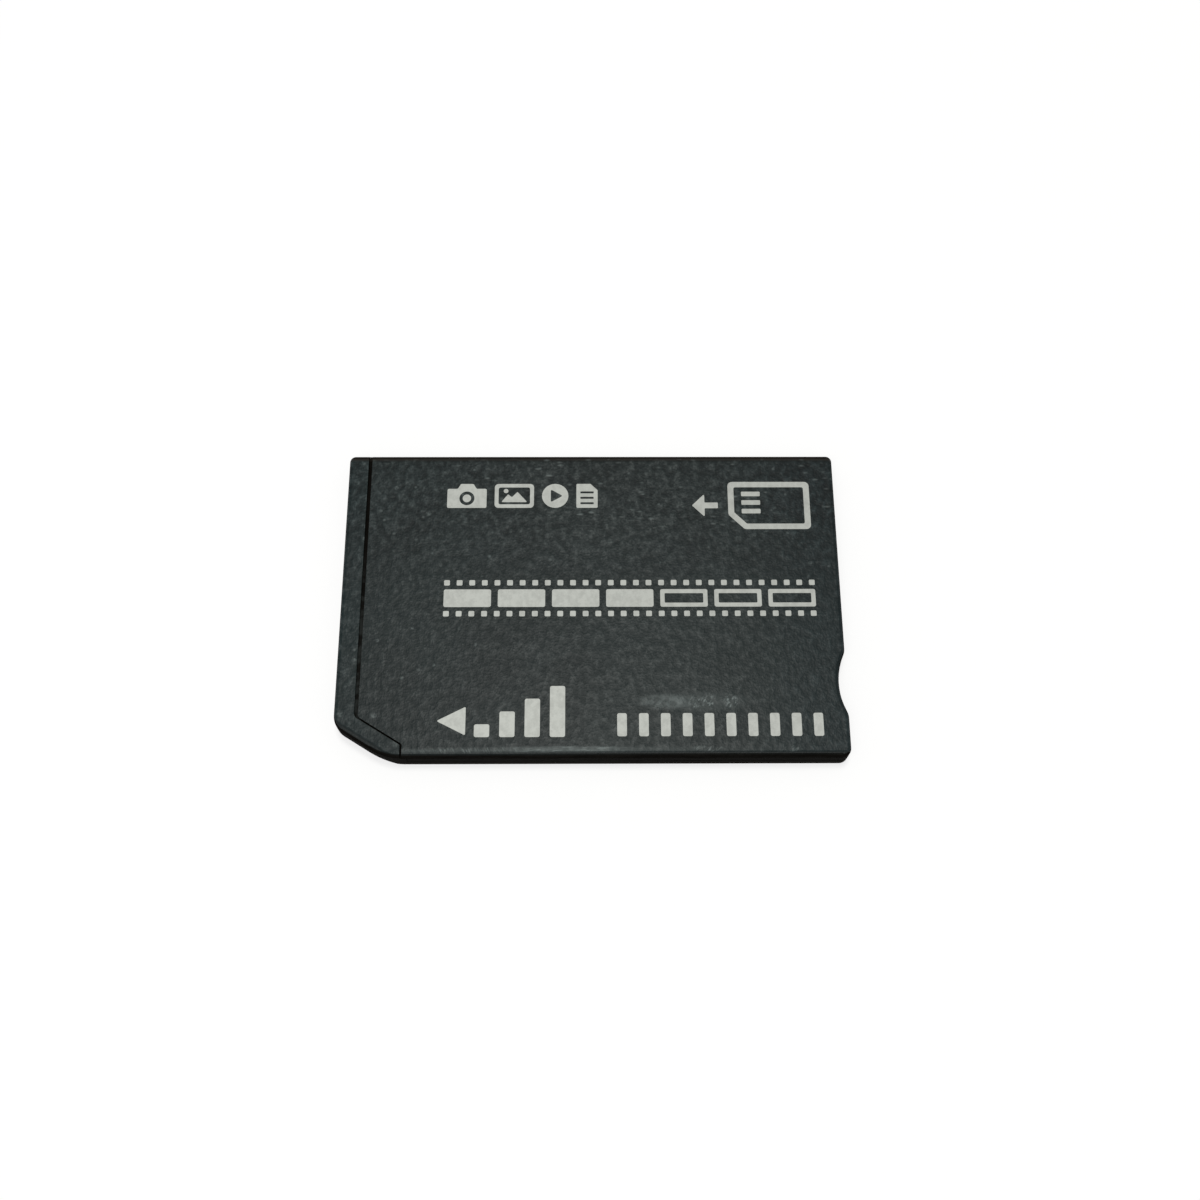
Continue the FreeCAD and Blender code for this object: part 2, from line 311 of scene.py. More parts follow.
def clear_of_near_side(shader, inside, width):
    """From 0 at a distance in from the near side and the cut corner to 1 at a width further in."""
    off_near = shader.ramp(inside_near_edge(shader), inside, inside + width)
    off_cut = shader.ramp(inside_cut_corner(shader), inside, inside + width)
    return shader.times(off_near, off_cut)


def turning(shader, inside, width):
    """From 0 to 1 where a face starts to turn down, over a width next to its round."""
    return shader.ramp(inside, EDGE_ROUND + width, EDGE_ROUND)


def on_round(shader):
    """From 0 on the sides to 1 on the round between them and the label face."""
    foot = FACE - EDGE_ROUND
    return shader.ramp(shader.axis("Z"), foot - ROUND_BLEND, foot + ROUND_BLEND)


def patch(shader, middle, reach):
    """Oval that fades out from its middle."""
    along = shader.calculate("DIVIDE", shader.minus(shader.axis("X"), middle[0]), reach[0])
    across = shader.calculate("DIVIDE", shader.minus(shader.axis("Y"), middle[1]), reach[1])
    distance = shader.plus(shader.times(along, along), shader.times(across, across))
    return shader.ramp(distance, 1.0, 0.0)


# Grain and wear of the mouldings


def spark_grain(shader):
    """Height of a spark-eroded mould's grain: lumps with finer pits on them."""
    lumps = shader.noise(LUMP_SIZE, roughness=0.6, place=shader.stretched((1.0, 0.72, 1.0)))
    pits = shader.noise(PIT_SIZE, detail=1.0)
    return shader.plus(shader.times(lumps, LUMP_SHARE), shader.times(pits, 1 - LUMP_SHARE))


def grained(shader, height, pit, peak):
    """Colour from that of the pits to that of the highest peaks, with more contrast to the far edge."""
    pit_height, peak_height = 0.26, 0.80
    least_contrast, most_contrast = 0.3, 2.6
    rise = shader.ramp(height, pit_height, peak_height)
    colour = shader.mix(shader.times(rise, rise), pit, peak)
    contrast = shader.ramp(shader.axis("Y"), 0.0, 7.0, least_contrast, most_contrast)
    shade = shader.times(shader.minus(height, NOISE_MIDDLE), contrast)
    return shader.shaded(colour, shader.plus(shade, 1.0))


def scattered(shader, spacing, radius, share, place=None):
    """Round points scattered over the surface: up to 1 in the middle of a point, 0 elsewhere."""
    distance, colour = shader.cells(spacing, place)
    near = shader.ramp(distance, radius / spacing, 0.0)
    chance = shader.add("ShaderNodeSeparateColor", None, {"Color": colour}).outputs["Red"]
    return shader.times(near, shader.ramp(chance, 1 - share, 1.0))


def scratches(shader, lean, length, width):
    """Fine strokes that lean by an angle from the card's long side: up to 1 on a stroke."""
    stroke_from, stroke_full = 0.46, 0.72
    place = shader.stretched((1 / length, 1 / width, 1.0), shader.turned(-lean))
    return shader.ramp(shader.noise(1.0, place=place), stroke_from, stroke_full)


def flecks(shader):
    """Small raised flecks with painted glints on them, drawn out along the card, in patches towards its
    far edge.
    """
    patch_size, patch_from, patch_full = 1.6, 0.44, 0.60
    drawn_out = shader.stretched((0.52, 1.3, 1.0))
    drawn = scattered(shader, spacing=0.34, radius=0.15, share=0.8, place=drawn_out)
    patches = shader.ramp(shader.noise(patch_size, roughness=0.6), patch_from, patch_full)
    to_far_edge = shader.ramp(shader.axis("Y"), 2.0, 6.0)
    fewer_in_front = shader.ramp(shader.axis("X"), -11.0, -5.0, 0.3, 1.0)
    return shader.times(drawn, patches, to_far_edge, fewer_in_front)


def near_edge_wear_and_highlight(shader):
    """Pale line just inside the near edge: its haze is a painted highlight, brightest in the middle, and
    its wisps and slanting strokes are wear.
    """
    inset, front_inset = 0.505, 0.390
    half_width, half_core = 0.26, 0.03
    middle_x, middle_reach, middle_core = -1.6, 4.6, 0.6
    haze_pale, middle_pale, wisps_pale, front_pale, rear_pale = 0.15, 0.20, 0.85, 0.46, 0.80
    x = shader.axis("X")
    line_inset = shader.ramp(x, -12.0, -2.0, front_inset, inset)
    line = shader.ramp(shader.away(inside_near_edge(shader), line_inset), half_width, half_core)

    middle = shader.ramp(shader.away(x, middle_x), middle_reach, middle_core)
    # Painted highlight along the near edge, brightest in its middle
    haze = shader.plus(shader.ramp(x, 13.0, 0.0, 0.0, haze_pale), shader.times(middle, middle_pale))
    wisps = shader.times(scratches(shader, lean=4, length=0.7, width=0.12), middle, wisps_pale)

    front = shader.times(shader.ramp(x, -1.0, -7.0), shader.ramp(x, -11.5, -8.5, 0.15, 1.0))
    front_strokes = scratches(shader, lean=-62, length=0.42, width=0.10)
    front_strokes = shader.times(front_strokes, front, front_pale)

    line_y = NEAR_EDGE + inset
    bunch = patch(shader, (6.9, line_y), reach=(1.1, 0.5))
    faint_bunch = shader.times(patch(shader, (11.9, line_y), reach=(0.8, 0.5)), 0.5)
    rear_strokes = scratches(shader, lean=40, length=0.40, width=0.12)
    rear_strokes = shader.times(rear_strokes, shader.largest(bunch, faint_bunch), rear_pale)
    marks = shader.largest(wisps, front_strokes, rear_strokes)
    return shader.times(line, shader.plus(haze, marks))


def scuff(shader):
    """Scuffed place: a dotted haze, and three small bunches of slanting scratches to the right of it."""
    haze_x, faint_x, bunches_x, scuff_y = 4.45, 6.9, (6.26, 7.04, 8.43), -6.54
    dot_size, dots_pale, between_pale, faint_pale, marks_pale = 0.30, 0.42, 0.12, 0.12, 0.95
    dots = shader.over(shader.noise(dot_size, roughness=0.6), between_pale, dots_pale, spread=0.15)
    haze = shader.times(patch(shader, (haze_x, scuff_y), reach=(2.1, 0.58)), dots)
    faint_haze = shader.times(patch(shader, (faint_x, scuff_y), reach=(3.4, 0.75)), faint_pale)
    bunches = 0.0
    for bunch_x in bunches_x:
        bunches = shader.plus(bunches, patch(shader, (bunch_x, scuff_y), reach=(0.55, 0.50)))
    marks = shader.times(bunches, scratches(shader, lean=55, length=0.30, width=0.14), marks_pale)
    return shader.plus(haze, faint_haze, marks)


def rubbed(shader, places):
    """Small pale places, uneven: rubbed pale, and on the case one painted catch-light."""
    speck_size, speck_from, speck_full, between = 0.16, 0.38, 0.66, 0.30
    worn = 0.0
    for x, y, radius in places:
        worn = shader.plus(worn, patch(shader, (x, y), reach=(radius, radius)))
    specks = shader.ramp(shader.noise(speck_size, detail=1.0), speck_from, speck_full, between, 1.0)
    return shader.times(worn, specks)


def worn_lip(shader):
    """Specks rubbed pale along the lip of the nose bar, beside the seam."""
    lip_x, lip_reach, lip_core = SEAM - 0.40, 0.30, 0.10
    near_lip = shader.ramp(shader.away(shader.axis("X"), lip_x), lip_reach, lip_core)
    return shader.times(scattered(shader, spacing=0.45, radius=0.15, share=0.5), near_lip)


# Materials


def cover_tone(shader, height):
    """Grained colour of the cover, with painted shade that makes it bluer and darker to the rear, and a
    painted warm sheen that makes it paler along the middle of the far side.
    """
    cloud_size, rear_from, rear_full, near_darker, far_darker = 4.5, 9.0, 14.5, 0.10, 0.34
    colour = grained(shader, height, COVER_PIT, COVER_PEAK)
    colour = shader.varied(colour, shader.noise(cloud_size), change=0.10, spread=0.14)
    # Painted shade: darker and bluer towards the rear end
    to_rear = shader.ramp(shader.axis("X"), rear_from, rear_full)
    darker = shader.times(to_rear, shader.ramp(shader.axis("Y"), -6.0, 6.0, near_darker, far_darker))
    colour = shader.shaded(colour, shader.minus(1.0, darker))
    colour = shader.mix(to_rear, colour, REAR_SHADE_TINT, "MULTIPLY")
    # Painted warm sheen, paler in the middle of the far side
    far_sheen = patch(shader, (0.5, 8.5), reach=(10.0, 7.0))
    return shader.mix(far_sheen, colour, FAR_SHEEN_TINT, "MULTIPLY")


def cover_wear_and_light(shader, glint_fleck_mask):
    """How pale each place of the cover is: painted glints, a painted highlight along the near edge, and
    wear.
    """
    # Painted glints, more towards the far side
    points = scattered(shader, spacing=0.62, radius=0.14, share=0.5)
    more_to_far_side = shader.ramp(shader.axis("Y"), NEAR_EDGE + 1, FAR_EDGE - 1, 0.2, 1.0)
    points = shader.times(points, more_to_far_side, GLINTS_ON_COVER)
    painted_glints = shader.times(glint_fleck_mask, GLINT_FLECKS_ON_COVER)
    spots = shader.times(rubbed(shader, RUBBED_COVER), SPOTS_ON_COVER)
    return shader.plus(points, painted_glints, spots, near_edge_wear_and_highlight(shader), scuff(shader))


def cover_material():
    """Grained plastic, worn pale in places, with painted glints, a painted highlight along the near edge,
    and painted shade where it turns down at the long sides.
    """
    pit_roughness, peak_roughness = 0.41, 0.32
    shader = Shader("grained_cover")
    height = spark_grain(shader)
    glint_fleck_mask = flecks(shader)
    far_turn = turning(shader, inside_far_edge(shader), FAR_TURN)
    less_in_front = shader.ramp(shader.axis("X"), -8.0, 5.0, 0.35, 1.0)
    near_turn = shader.times(turning(shader, inside_near_edge(shader), NEAR_TURN), less_in_front)
    # Painted shade where the face turns down at the far and near edges
    colour = shader.mix(far_turn, cover_tone(shader, height), EDGE_SHADE)
    colour = shader.mix(cover_wear_and_light(shader, glint_fleck_mask), colour, WORN_AND_HIGHLIGHT)
    colour = shader.mix(near_turn, colour, ROUND_HALF_SHADE)
    relief = shader.plus(height, shader.times(glint_fleck_mask, FLECK_RISE))
    relief = shader.minus(relief, shader.times(near_turn, NEAR_DROP))
    relief = shader.minus(relief, shader.times(far_turn, FAR_DROP))
    return shader.finish(
        Base_Color=colour,
        Roughness=shader.ramp(height, GRAIN_LOW, GRAIN_HIGH, pit_roughness, peak_roughness),
        Specular_IOR_Level=PLASTIC_SPECULAR,
        Normal=shader.bump(relief, GRAIN_DEPTH, GRAIN_STRENGTH),
    )


def case_wear_and_glints(shader):
    """How pale each place of the case is: painted glints, and wear."""
    # Painted glints
    points = shader.times(scattered(shader, spacing=0.7, radius=0.14, share=0.4), GLINTS_ON_CASE)
    lip = shader.times(worn_lip(shader), SPECKS_ON_LIP)
    spots = shader.times(rubbed(shader, RUBBED_CASE), SPOTS_ON_CASE)
    return shader.plus(points, lip, spots)


def case_material():
    """The same plastic, worn along the seam, with painted glints, and painted shade along the far side and
    the cut corner.
    """
    pit_roughness, peak_roughness = 0.42, 0.34
    shader = Shader("grained_case")
    height = spark_grain(shader)
    far_turn = turning(shader, inside_far_edge(shader), FAR_TURN)
    cut_turn = turning(shader, inside_cut_corner(shader), CUT_TURN)
    colour = grained(shader, height, CASE_PIT, CASE_PEAK)
    colour = shader.varied(colour, shader.noise(2.6), change=0.12, spread=0.18)
    colour = shader.mix(case_wear_and_glints(shader), colour, WORN_AND_HIGHLIGHT)
    # Painted shade where the face turns down at the far side and the cut corner
    colour = shader.mix(far_turn, colour, EDGE_SHADE)
    colour = shader.mix(cut_turn, colour, ROUND_HALF_SHADE)
    relief = shader.minus(height, shader.times(cut_turn, CUT_DROP))
    relief = shader.minus(relief, shader.times(far_turn, FAR_DROP))
    return shader.finish(
        Base_Color=colour,
        Roughness=shader.ramp(height, GRAIN_LOW, GRAIN_HIGH, pit_roughness, peak_roughness),
        Specular_IOR_Level=PLASTIC_SPECULAR,
        Normal=shader.bump(relief, GRAIN_DEPTH, GRAIN_STRENGTH),
    )


def outer_sides(shader):
    """1 on the card's ends and far side, under the round of the label face."""
    end_reach, far_reach, fade = 0.4, 0.1, 0.2
    x = shader.axis("X")
    front_limit = FRONT_END + end_reach
    rear_limit = REAR_END - NOTCH_DEPTH - end_reach
    front = shader.ramp(x, front_limit + fade, front_limit)
    rear = shader.ramp(x, rear_limit - fade, rear_limit)
    far = shader.ramp(inside_far_edge(shader), far_reach + fade, far_reach)
    outside = shader.largest(front, rear, far)
    under_round = shader.minus(1.0, on_round(shader))
    return shader.times(outside, under_round, clear_of_near_side(shader, inside=0.05, width=0.8))


def far_round(shader):
    """1 on the round between the label face and the far side."""
    far = turning(shader, inside_far_edge(shader), ROUND_BLEND)
    return shader.times(far, on_round(shader))


def seam_dust(shader):
    """Broken dust in the seam, most at the near side and beside the nose bar, and none at the far side."""
    half_gap, margin, fade = SEAM_GAP / 2, 0.10, 0.10
    beside_cover, between_dashes = 0.55, 0.15
    x = shader.axis("X")
    off_middle = shader.away(x, SEAM - half_gap)
    in_seam = shader.ramp(off_middle, half_gap + margin + fade, half_gap + margin)
    to_bar = shader.ramp(x, SEAM, SEAM - SEAM_GAP, beside_cover, 1.0)
    dashes = shader.ramp(shader.noise(0.6, detail=1.0), 0.44, 0.58, between_dashes, 1.0)
    to_near_side = shader.ramp(shader.axis("Y"), 5.0, -3.0)
    off_near_side = clear_of_near_side(shader, inside=0.5, width=0.5)
    return shader.times(in_seam, to_bar, dashes, to_near_side, off_near_side)


def wall_material():
    """Dull sides of both mouldings: painted shade, with a painted brown reflection at the foot and paler
    half shade under the face.
    """
    foot_low, foot_high, pale_height = 0.05, 0.55, 0.035
    shader = Shader("painted_shade_wall")
    height = shader.noise(0.22, detail=3.0, roughness=0.6)
    drawn = shader.noise(1.0, detail=3.0, roughness=0.6, place=shader.stretched((0.5, 0.5, 6.0)))
    # Painted shade: near black on the near side, the cut corner and the seam's bottom
    colour = shader.mix(shader.over(drawn), WALL_DARK, WALL_PALE)
    # Painted brown reflection at the foot
    colour = shader.mix(shader.ramp(shader.axis("Z"), foot_high, foot_low), colour, FOOT_REFLECTION)
    colour = shader.mix(outer_sides(shader), colour, WALL_SIDE)
    colour = shader.mix(seam_dust(shader), colour, SEAM_DUST)
    # Painted shade on the round at the far side
    colour = shader.mix(far_round(shader), colour, EDGE_SHADE)
    # Painted half shade, paler, on the walls just under the face
    up_to_face = shader.ramp(shader.axis("Z"), FACE - pale_height, FACE)
    off_far_edge = shader.ramp(inside_far_edge(shader), 0.4, 0.7)
    less_to_rear = shader.ramp(shader.axis("X"), -8.0, 6.0, 1.0, 0.3)
    colour = shader.mix(shader.times(up_to_face, off_far_edge, less_to_rear), colour, ROUND_HALF_SHADE)
    return shader.finish(
        Base_Color=shader.varied(colour, height, change=0.15),
        Roughness=0.7,
        Specular_IOR_Level=0.006,
        Normal=shader.bump(height, 0.006, 0.5),
    )


def ink_material():
    """Pale screen-printed ink on the grain, thin on its peaks and duller to the far side and the rear."""
    thin_from, thin_full, thin_share, far_shade, rear_shade = 0.56, 0.76, 0.45, 0.90, 0.92
    shader = Shader("pale_ink")
    height = spark_grain(shader)
    thin = shader.times(shader.ramp(height, thin_from, thin_full), thin_share)
    colour = shader.mix(thin, INK, INK_THIN)
    colour = shader.shaded(colour, shader.over(height, 0.88, 1.10))
    colour = shader.shaded(colour, shader.ramp(shader.axis("Y"), -7.5, 6.0, 1.0, far_shade))
    colour = shader.shaded(colour, shader.ramp(shader.axis("X"), -7.0, 12.0, 1.0, rear_shade))
    return shader.finish(
        Base_Color=colour,
        Roughness=0.6,
        Specular_IOR_Level=0.25,
        Normal=shader.bump(height, 0.010, 0.5),
    )


def gold_material():
    """Gold plate, with the fine wipe marks that a reader's springs leave along the card."""
    shader = Shader("gold_plate")
    wipes = shader.noise(1.0, detail=3.0, roughness=0.6, place=shader.stretched((0.25, 34.0, 1.0)))
    return shader.finish(
        Base_Color=shader.mix(shader.ramp(wipes, 0.35, 0.7), GOLD, GOLD_WIPED),
        Metallic=1.0,
        Roughness=shader.over(wipes, 0.34, 0.2),
        Normal=shader.bump(wipes, 0.002, 0.5),
    )


def board_material():
    """Solder mask over faint tracks."""
    shader = Shader("solder_mask")
    lanes = shader.noise(1.0, detail=0.0, place=shader.stretched((0.15, 2.2, 1.0)))
    tracks = shader.ramp(lanes, 0.5, 0.56)
    colour = shader.mix(tracks, MASK_GREEN, TRACK_GREEN)
    return shader.finish(
        Base_Color=shader.varied(colour, shader.noise(0.3), change=0.08),
        Roughness=0.35,
        Normal=shader.bump(tracks, 0.01, 0.6),
    )


def chip_material():
    """Moulded epoxy with a fine speckle."""
    shader = Shader("chip_epoxy")
    speckle = shader.noise(0.09, roughness=0.7)
    return shader.finish(
        Base_Color=shader.mix(shader.ramp(speckle, 0.35, 0.7), EPOXY_DARK, EPOXY_PALE),
        Roughness=shader.over(speckle, 0.7, 0.58),
        Normal=shader.bump(speckle, 0.004, 0.6),
    )


def ceramic_material(name, body_colour):
    """Fired ceramic, with a fine grain."""
    shader = Shader(name)
    grain = shader.noise(0.06, roughness=0.6)
    return shader.finish(
        Base_Color=shader.varied(body_colour, grain, change=0.15),
        Roughness=shader.over(grain, 0.6, 0.48),
        Normal=shader.bump(grain, 0.003, 0.5),
    )


def tin_material():
    """Tinned end caps, a little uneven from the solder."""
    shader = Shader("tinned_cap")
    grain = shader.noise(0.08, roughness=0.6)
    return shader.finish(
        Base_Color=shader.mix(shader.over(grain), TIN_DULL, TIN_BRIGHT),
        Metallic=1.0,
        Roughness=shader.over(grain, 0.45, 0.30),
        Normal=shader.bump(grain, 0.004, 0.5),
    )


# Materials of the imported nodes


def dress(node, *materials):
    """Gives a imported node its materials, in place of the plain one."""
    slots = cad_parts[node].data.materials
    slots.clear()
    for material in materials:
        slots.append(material)


def split_faces(node, is_second):
    """Puts the faces that is_second picks in the node's second material, and the others in its first."""
    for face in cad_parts[node].data.polygons:
        face.material_index = int(is_second(face))


def is_steep(face):
    """Whether a face is too steep for the grain, and so takes the walls' painted shade, by the side of the
    card that it looks to.
    """
    outwards = face.normal.xy
    if outwards.length == 0:
        return face.normal.z < 0
    to_long_side = abs(outwards.normalized().y)
    return face.normal.z < END_FACE_FROM + (LONG_FACE_FROM - END_FACE_FROM) * to_long_side


def is_case_wall(face):
    """Whether a face of the case is one of its sides or lies in the seam, and so takes the walls' painted
    shade.
    """
    in_seam = face.normal.z > 0 and face.center.z < FACE_Z - SEAM_FLOOR * MM
    return in_seam or (face.normal.z > UNDERSIDE_FROM and is_steep(face))


def dress_passive(node, body, cap):
    """Dresses a capacitor or resistor, which lies along X between two end caps."""
    low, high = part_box(node)
    middle, half = (low.x + high.x) / 2, (high.x - low.x) / 2
    cap_from = half - (CAP_LENGTH + CAP_MARGIN) * MM
    dress(node, body, cap)
    split_faces(node, lambda face: abs(face.center.x - middle) > cap_from)


def dress_nodes():
    wall = wall_material()
    dress("upper_cover", cover_material(), wall)
    split_faces("upper_cover", is_steep)
    dress("lower_case", case_material(), wall)
    split_faces("lower_case", is_case_wall)
    dress("circuit_board", board_material())
    gold, chip, tin = gold_material(), chip_material(), tin_material()
    tan = ceramic_material("tan_ceramic", CERAMIC_TAN)
    black = ceramic_material("black_ceramic", CERAMIC_BLACK)
    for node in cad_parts:
        if node.startswith("contact_pad"):
            dress(node, gold)
        elif node.endswith("_chip"):
            dress(node, chip)
        elif node.startswith("capacitor"):
            dress_passive(node, tan, tin)
        elif node.startswith("resistor"):
            dress_passive(node, black, tin)


# Outlines of printed marks, with points (x, y) in millimetres


def rounded(corners, radius, steps=5):
    """Outline through corners, each rounded by an arc of the radius."""
    outline = []
    for index, corner in enumerate(corners):
        here = Vector(corner)
        to_before = (Vector(corners[index - 1]) - here).normalized()
        to_after = (Vector(corners[(index + 1) % len(corners)]) - here).normalized()
        half = to_before.angle(to_after) / 2
        inward = (to_before + to_after).normalized()
        centre = here + inward * (radius / math.sin(half))
        turn = math.pi / 2 - half
        if to_before.cross(to_after) > 0:
            turn = -turn
        for step in range(steps + 1):
            spoke = Matrix.Rotation(turn * (2 * step / steps - 1), 2) @ -inward
            outline.append(centre + spoke * radius)
    return outline


def bar(low_x, high_x, low_y, high_y, radius):
    """Rounded rectangle."""
    return rounded([(low_x, low_y), (high_x, low_y), (high_x, high_y), (low_x, high_y)], radius)


def disc(x, y, radius, steps=28):
    turns = [2 * math.pi * step / steps for step in range(steps)]
    return [Vector((x + radius * math.cos(turn), y + radius * math.sin(turn))) for turn in turns]


def frame_of(low_x, high_x, low_y, high_y, line, radius):
    """Mark of a rounded rectangle's line."""
    inner = bar(low_x + line, high_x - line, low_y + line, high_y - line, radius / 2)
    return [bar(low_x, high_x, low_y, high_y, radius), inner]


def printed(name, marks, ink):
    """Marks as a thin film of ink. Each is an outline, followed by the outlines of the holes in it."""
    points, faces = [], []
    for mark in marks:
        flat = [point for outline in mark for point in outline]
        lower, upper = len(points), len(points) + len(flat)
        for z in (FACE_Z - INK_SUNK, FACE_Z + INK_HEIGHT):
            points += [(x * MM, y * MM, z) for x, y in flat]
        loops = [[point.to_3d() for point in outline] for outline in mark]
        for triangle in tessellate_polygon(loops):
            faces.append([upper + index for index in triangle])
            faces.append([lower + index for index in reversed(triangle)])
        start = 0
        for outline in mark:
            for step in range(len(outline)):
                here, after = start + step, start + (step + 1) % len(outline)
                faces.append((lower + here, lower + after, upper + after, upper + here))
            start += len(outline)
    data = bpy.data.meshes.new(name)
    data.from_pydata(points, [], faces)
    mesh = bmesh.new()
    mesh.from_mesh(data)
    bmesh.ops.recalc_face_normals(mesh, faces=mesh.faces[:])
    mesh.to_mesh(data)
    mesh.free()
    data.materials.append(ink)
    piece = bpy.data.objects.new(name, data)
    bpy.context.scene.collection.objects.link(piece)
    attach(piece, "root")


# Printed marks: plain signs in pale ink, set out between these margins (millimetres)
LEFT = -9.15
RIGHT = 13.90
CORNER = 0.12               # radius of the bars' corners
SIGN_WIDTH = 2.50           # of the signs for a camera and a picture


def print_arrow(ink):
    """Arrow towards the end that goes in first."""
    tip, base, low, high = (-9.32, -7.73), -7.57, -8.63, -6.84
    printed("print_arrow", [[rounded([tip, (base, low), (base, high)], radius=0.06)]], ink)


def print_level(ink):
    """Four bars of rising height beside the arrow."""
    left, right, foot, top, count, width = -7.05, -1.60, -8.74, -5.55, 4, 0.92
    pitch = (right - left - width) / (count - 1)
    marks = []
    for index in range(count):
        start = left + index * pitch
        height = (top - foot) * (index + 1) / count
        marks.append([bar(start, start + width, foot, foot + height, CORNER)])
    printed("print_level", marks, ink)


def camera_sign(left, low, high):
    """Camera body with a raised middle, and a lens in a round opening."""
    hump_height, hump_foot, hump_top, opening, lens = 0.34, 0.60, 0.40, 0.48, 0.27
    right, shoulder = left + SIGN_WIDTH, high - hump_height
    x, y = left + SIGN_WIDTH / 2, (low + shoulder) / 2
    body = [(left, low), (right, low), (right, shoulder), (x + hump_foot, shoulder), (x + hump_top, high)]
    body += [(x - hump_top, high), (x - hump_foot, shoulder), (left, shoulder)]
    return [[rounded(body, radius=0.10), disc(x, y, opening)], [disc(x, y, lens)]]


def picture_sign(left, low, high):
    """Framed picture of two hills and the sun."""
    line, corner = 0.25, 0.25
    foot = low + 0.40
    hills = [(left + 0.42, foot), (left + 2.08, foot), (left + 1.45, low + 1.12)]
    hills += [(left + 1.10, low + 0.75), (left + 0.85, low + 0.95)]
    sun = disc(left + 0.72, high - 0.50, radius=0.15)
    edge = frame_of(left, left + SIGN_WIDTH, low, high, line, corner)
    return [edge, [rounded(hills, radius=0.04)], [sun]]


def clip_sign(left, low, high):
    """Disc with a triangle, the sign for playing, cut out of it."""
    radius = (high - low) / 2
    x, y = left + radius, low + radius
    back, tip, half = x - 0.28, x + 0.48, 0.45
    play = [(back, y + half), (back, y - half), (tip, y)]
    return [[disc(x, y, radius), rounded(play, radius=0.06)]]


def page_sign(left, low, high):
    """Page with a cut corner and three lines."""
    width, fold, margin, half_line = 1.35, 0.45, 0.25, 0.07
    right = left + width
    sheet = [(left, low), (right, low), (right, high - fold), (right - fold, high), (left, high)]
    page = [rounded(sheet, radius=0.08)]
    for y in (low + 0.32, low + 0.70, low + 1.08):
        page.append(bar(left + margin, right - margin, y - half_line, y + half_line, radius=0.04))
    return [page]


def print_uses(ink):
    """Signs of what the card holds: a camera, a picture, a clip to play and a page."""
    low, high, gap = 6.30, 7.98, 0.51
    picture_left = LEFT + SIGN_WIDTH + gap
    clip_left = picture_left + SIGN_WIDTH + gap
    page_left = clip_left + (high - low) + gap
    marks = camera_sign(LEFT, low, high) + picture_sign(picture_left, low, high)
    marks += clip_sign(clip_left, low, high) + page_sign(page_left, low, high)
    printed("print_uses", marks, ink)


def print_strip(ink):
    """Strip of film across the middle: frames, the first ones full, between two rows of holes."""
    low, high, hole, holes, hole_corner = -1.05, 1.36, 0.36, 30, 0.07
    frames, full, gap, line, clear = 7, 4, 0.42, 0.27, 0.26
    marks = []
    for index in range(holes):
        start = LEFT + index * (RIGHT - LEFT - hole) / (holes - 1)
        for foot in (low, high - hole):
            marks.append([bar(start, start + hole, foot, foot + hole, hole_corner)])
    pitch = (RIGHT - LEFT + gap) / frames
    foot, top = low + hole + clear, high - hole - clear
    for index in range(frames):
        start = LEFT + index * pitch
        end = start + pitch - gap
        full_frame = [bar(start, end, foot, top, CORNER)]
        marks.append(full_frame if index < full else frame_of(start, end, foot, top, line, CORNER))
    printed("print_strip", marks, ink)


def print_contacts(ink):
    """Ten short bars, as many as the card has contacts."""
    count, width, low, high, first = 10, 0.58, -8.71, -7.27, 1.52
    pitch = (RIGHT - first - width) / (count - 1)
    starts = [first + pitch * index for index in range(count)]
    printed("print_contacts", [[bar(start, start + width, low, high, CORNER)] for start in starts], ink)


def print_card_sign(ink):
    """A card with its cut corner and contacts, and an arrow from it towards the slot."""
    low_x, high_x, low_y, high_y, cut, line, corner = 8.70, RIGHT, 4.81, 8.11, 1.0, 0.38, 0.3
    middle = (low_y + high_y) / 2

    def card(inset):
        left, right, low, high = low_x + inset, high_x - inset, low_y + inset, high_y - inset
        leg = cut - inset * (2 - math.sqrt(2))
        corners = [(left + leg, low), (right, low), (right, high), (left, high), (left, low + leg)]
        return rounded(corners, corner - inset / 2)

    pad_start, pad_end, half_pad = low_x + 0.85, low_x + 2.05, 0.16
    pads = []
    for y in (middle - 0.4, middle + 0.2, middle + 0.8):
        pads.append([bar(pad_start, pad_end, y - half_pad, y + half_pad, radius=0.06)])

    tip, tail, half_head, half_stem = 6.40, 8.05, 0.80, 0.2
    neck = tip + half_head
    stem_low, stem_high = middle - half_stem, middle + half_stem
    arrow = [(tip, middle), (neck, middle - half_head), (neck, stem_low), (tail, stem_low)]
    arrow += [(tail, stem_high), (neck, stem_high), (neck, middle + half_head)]
    printed("print_card_sign", [[card(0.0), card(line)], [rounded(arrow, radius=0.05)], *pads], ink)


# Floor, light and camera


def light_path_share(tree):
    """1 for rays that show the background itself: from the camera, or by reflection or through glass."""
    path = add_node(tree, "ShaderNodeLightPath")
    share = path.outputs["Is Camera Ray"]
    for name in ("Is Glossy Ray", "Is Transmission Ray"):
        inputs = {0: share, 1: path.outputs[name]}
        share = add_node(tree, "ShaderNodeMath", {"operation": "MAXIMUM"}, inputs).outputs["Value"]
    return share


